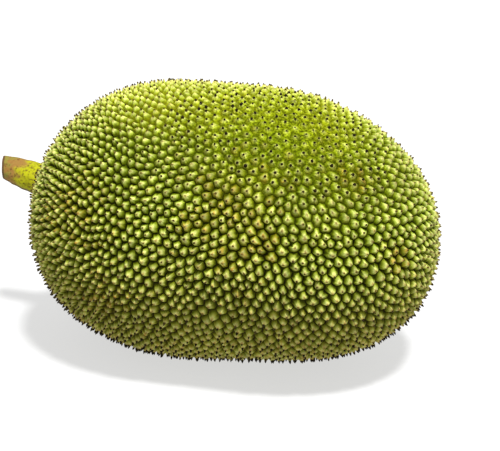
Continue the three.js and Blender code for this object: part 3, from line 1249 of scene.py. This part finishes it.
    def rows(self, toward: Array, places: Array, normals: Array) -> Array:
        """Gives how high the saddles stand within the rows near the stalk.

        That is row_relief times c^4, where c is the cosine between the way to the neighbour and
        the fruit's length, and it fades out away from the stalk.

        Args:
            toward: The unit direction from a spine to its neighbour.
            places: The spine's place.
            normals: The form's normal there.

        Returns:
            The relief of the saddle between the two.
        """
        along = np.einsum("ij,ij->i", toward, unit(along_skin(LENGTHWISE, normals)))
        return self.row_relief * along**4 * self.in_rows(places)

    def sharpen(self, rind: bpy.types.Object, ridges: Array) -> None:
        """Marks the edges along the ridges as sharp, to keep the facets crisp.

        Args:
            rind: The rind's object.
            ridges: The two vertex numbers of each ridge edge.
        """
        edges = np.empty(2 * len(rind.data.edges), np.int32)
        rind.data.edges.foreach_get("vertices", edges)
        edges, ridges = (
            np.sort(pairs.reshape(-1, 2).astype(np.int64), axis=1) @ [len(rind.data.vertices), 1]
            for pairs in (edges, ridges)
        )
        sharp = rind.data.attributes.new("sharp_edge", "BOOLEAN", "EDGE")
        sharp.data.foreach_set("value", np.isin(edges, ridges))

    def stained_share(self, places: Array) -> Array:
        """Gives the share of the spines that are stained, which falls off as exp(-t^2).

        Args:
            places: Points of the form.

        Returns:
            A number from 0 to 1 for each point.
        """
        share = np.full(len(places), self.common_stain)
        for blemish in self.blemishes:
            away = np.linalg.norm(places - [blemish.x, blemish.y, blemish.z], axis=1) / blemish.reach
            share = np.maximum(share, blemish.share * np.exp(-(away**2)))
        return share

    def socket(self, points: Array) -> Array:
        """Sinks the skin under the stalk's foot into the fruit, as deep as the stalk's root.

        Args:
            points: The rind's vertices.

        Returns:
            The same vertices, with those nearer to the stalk's line than its radius sunk.
        """
        along, across = self.stalk.from_foot(points)
        sunk = np.minimum(0, -self.stalk.root - along) * smooth_step(*self.socket_edge, across)
        return points + sunk[:, None] * self.stalk.axis(np.array([0.0]))[1]

    def dress(self, rind: bpy.types.Object, finish: RindFinish) -> None:
        """Gives the rind its waxy skin."""
        rind.data.materials.append(finish.material())


@dataclass
class DriedTips:
    """The dried flower tips: a small, uneven, six-sided point on each spine that kept its own.

    Each has a point in its spine, a ring a little below the spine's tip, a smaller ring above it
    and a point on top, which stands highest where it looks down.
    """

    rind: Rind
    seed: int = 5
    radius: float = 1.35 * MM
    height: float = 1.7 * MM
    sides: int = 6
    # Each ring's height and radius, the lower point's depth and the upper one's least height, as
    # shares of the tip's own. The spokes start across a direction of no meaning.
    levels: tuple[tuple[float, float], ...] = ((-0.8, 1.0), (0.15, 0.62))
    foot: float = 1.1
    stand: float = 0.45
    stand_from: tuple[float, float] = (0.3, -0.6)
    wobble: float = 0.18
    spokes_across: tuple[float, float, float] = (0.31, 0.17, 0.93)
    # The size of a tip: a random share, times one that grows where it is dark or on the crown.
    smallest: float = 0.62
    size_spread: float = 0.4
    common_size: float = 0.85
    dark_larger: float = 0.22
    crown_larger: float = 0.25
    dark_from: tuple[float, float] = (-0.1, -0.85)
    # Where tips are missing: some at random, though no dark one, and all that would touch the
    # floor or the stalk.
    missing: float = 0.3
    floor_reach: float = 2.4 * MM
    stalk_reach: float = 1.05

    def build(self) -> bpy.types.Object:
        """Builds all the dried tips as one piece.

        Returns:
            The object with every tip, and with its attributes for the material.
        """
        random = np.random.default_rng(self.seed)
        tips, axes = self.rind.tips, self.rind.tip_axes
        # A tip is dark on the crown, its own colour, and where it looks down, which is painted shade.
        dark = np.maximum(self.rind.tip_crown, smooth_step(*self.dark_from, axes[:, 2]))
        kept = random.random(len(tips)) >= self.missing * (1 - dark)
        kept &= tips[:, 2] > self.floor_reach
        kept &= self.rind.stalk.from_foot(tips)[1] >= self.stalk_reach
        tips, axes, dark, crown = tips[kept], axes[kept], dark[kept], self.rind.tip_crown[kept]
        size = self.smallest + self.size_spread * random.random(len(tips))
        size *= self.common_size + self.dark_larger * dark + self.crown_larger * crown

        side = unit(np.cross(axes, self.spokes_across))
        other = np.cross(axes, side)
        angle = np.arange(self.sides)[:, None] * 2 * math.pi / self.sides
        spoke = np.cos(angle) * side[:, None] + np.sin(angle) * other[:, None]
        up = (size * self.height)[:, None, None] * axes[:, None]
        out = (size * self.radius)[:, None, None] * spoke
        rings = []
        for height, share in self.levels:
            wobble = 1 + self.wobble * (random.random((len(tips), self.sides, 1)) - 0.5)
            rings.append(tips[:, None] + height * up + share * wobble * out)
        stand = self.stand + (1 - self.stand) * smooth_step(*self.stand_from, axes[:, 2])
        poles = [tips[:, None] - self.foot * up, tips[:, None] + stand[:, None, None] * up]
        vertices = np.concatenate([*rings, *poles], axis=1)

        low = np.arange(self.sides)
        low_next = np.roll(low, -1)
        high, high_next = low + self.sides, low_next + self.sides
        bottom = np.full(self.sides, 2 * self.sides)
        facets = (
            (bottom, low_next, low),
            (low, low_next, high_next),
            (low, high_next, high),
            (high, high_next, bottom + 1),
        )
        one = np.concatenate([np.stack(facet, -1) for facet in facets])
        shift = np.arange(len(tips)) * vertices.shape[1]
        faces = (one + shift[:, None, None]).reshape(-1, 3)
        piece = make_object("dried_flower_tips", vertices.reshape(-1, 3), faces, smooth=True)
        set_attribute(piece, "age", "FACE", np.repeat(random.random(len(tips)), len(one)))
        set_attribute(piece, "dark", "FACE", np.repeat(dark, len(one)))
        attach(piece, "root")
        return piece

    def dress(self, tips: bpy.types.Object, finish: DriedTipFinish) -> None:
        """Gives the dried tips their dull dead tissue."""
        tips.data.materials.append(finish.material())


# ---- the studio ----


@dataclass
class Studio:
    """A plain pale floor under soft overhead light, seen from a little above."""

    form: FruitForm
    # The camera: where it stands, and where the fruit's middle is in its frame.
    azimuth: float = math.radians(20)
    elevation: float = math.radians(20)
    distance: float = 1.4
    pixel_at_fruit: float = 0.97 * MM
    frame_width: int = 500
    frame_height: int = 451
    middle_px: tuple[float, float] = (232.6, 221.0)
    sensor_mm: float = 36.0
    farthest: float = 200.0
    # The floor, which glows as if lit from below, so that it looks pale and its shadow soft.
    floor_half: float = 30.0
    floor_colour: str = "#909090"
    floor_glow: float = 0.62
    floor_roughness: float = 0.9
    floor_specular: float = 0.1
    # The light.
    light_colour: str = "#ffffff"
    sun_way: tuple[float, float, float] = (0.26, -0.27, 0.93)
    sun_strength: float = 4.95
    sun_spread: float = math.radians(8)
    sky_strength: float = 0.48

    def build_floor(self) -> bpy.types.Object:
        """Makes the floor: one wide square of back-lit acrylic that the fruit rests on.

        Returns:
            The floor's object.
        """
        h = self.floor_half
        corners = np.array([[-h, -h, 0], [h, -h, 0], [h, h, 0], [-h, h, 0]], dtype=float)
        floor = make_object("studio_floor", corners, np.array([[0, 1, 2, 3]]), smooth=False)
        material, tree = empty_material("back-lit white acrylic")
        surface = {
            "Base Color": linear(self.floor_colour),
            "Roughness": self.floor_roughness,
            "Specular IOR Level": self.floor_specular,
            "Emission Color": linear(self.light_colour),
            "Emission Strength": self.floor_glow,
        }
        shader = add_node(tree, "BsdfPrincipled", {}, surface)
        add_node(tree, "OutputMaterial", {}, {"Surface": shader})
        floor.data.materials.append(material)
        return floor

    def build_camera(self) -> None:
        """Makes the camera, aimed at the fruit's middle from a little to the right and above."""
        camera = bpy.data.cameras.new("camera")
        camera.sensor_width = self.sensor_mm
        focal_px = self.distance / self.pixel_at_fruit
        camera.lens = focal_px * self.sensor_mm / self.frame_width
        camera.shift_x = (self.frame_width / 2 - self.middle_px[0]) / self.frame_width
        camera.shift_y = (self.middle_px[1] - self.frame_height / 2) / self.frame_width
        camera.clip_end = self.farthest
        level, up = math.cos(self.elevation), math.sin(self.elevation)
        back = Vector((math.sin(self.azimuth) * level, -math.cos(self.azimuth) * level, up))
        holder = bpy.data.objects.new("camera", camera)
        holder.location = Vector((0, 0, self.form.middle)) + self.distance * back
        holder.rotation_euler = back.to_track_quat("Z", "Y").to_euler()
        bpy.context.scene.collection.objects.link(holder)
        bpy.context.scene.camera = holder

    def build_light(self) -> None:
        """Lights the floor and the fruit: a broad soft sun from above and an even pale sky."""
        sun = bpy.data.lights.new("overhead", "SUN")
        sun.energy = self.sun_strength
        sun.angle = self.sun_spread
        holder = bpy.data.objects.new("overhead", sun)
        holder.rotation_euler = Vector(self.sun_way).to_track_quat("Z", "Y").to_euler()
        bpy.context.scene.collection.objects.link(holder)
        world = bpy.data.worlds.new("sky")
        world.use_nodes = True
        background = world.node_tree.nodes["Background"]
        background.inputs["Color"].default_value = linear(self.light_colour)
        background.inputs["Strength"].default_value = self.sky_strength
        bpy.context.scene.world = world
        bpy.context.scene.view_settings.view_transform = "Standard"


def main() -> None:
    """Builds and dresses every piece, in order, and reports each one."""
    logging.basicConfig(level=logging.INFO, format="%(name)s: %(message)s")
    form = FruitForm()
    studio = Studio(form)
    studio.build_camera()
    studio.build_floor()
    studio.build_light()

    stalk = Stalk(form)
    layout = SpineLayout(form)
    layout.spread()
    rind = Rind(form, layout, stalk)
    parts = ((stalk, BarkFinish()), (rind, RindFinish()), (DriedTips(rind), DriedTipFinish()))
    for part, finish in parts:
        piece = part.build()
        part.dress(piece, finish)
        log.info("%s: %d triangles", piece.name, len(piece.data.polygons))


if __name__ == "__main__":
    main()
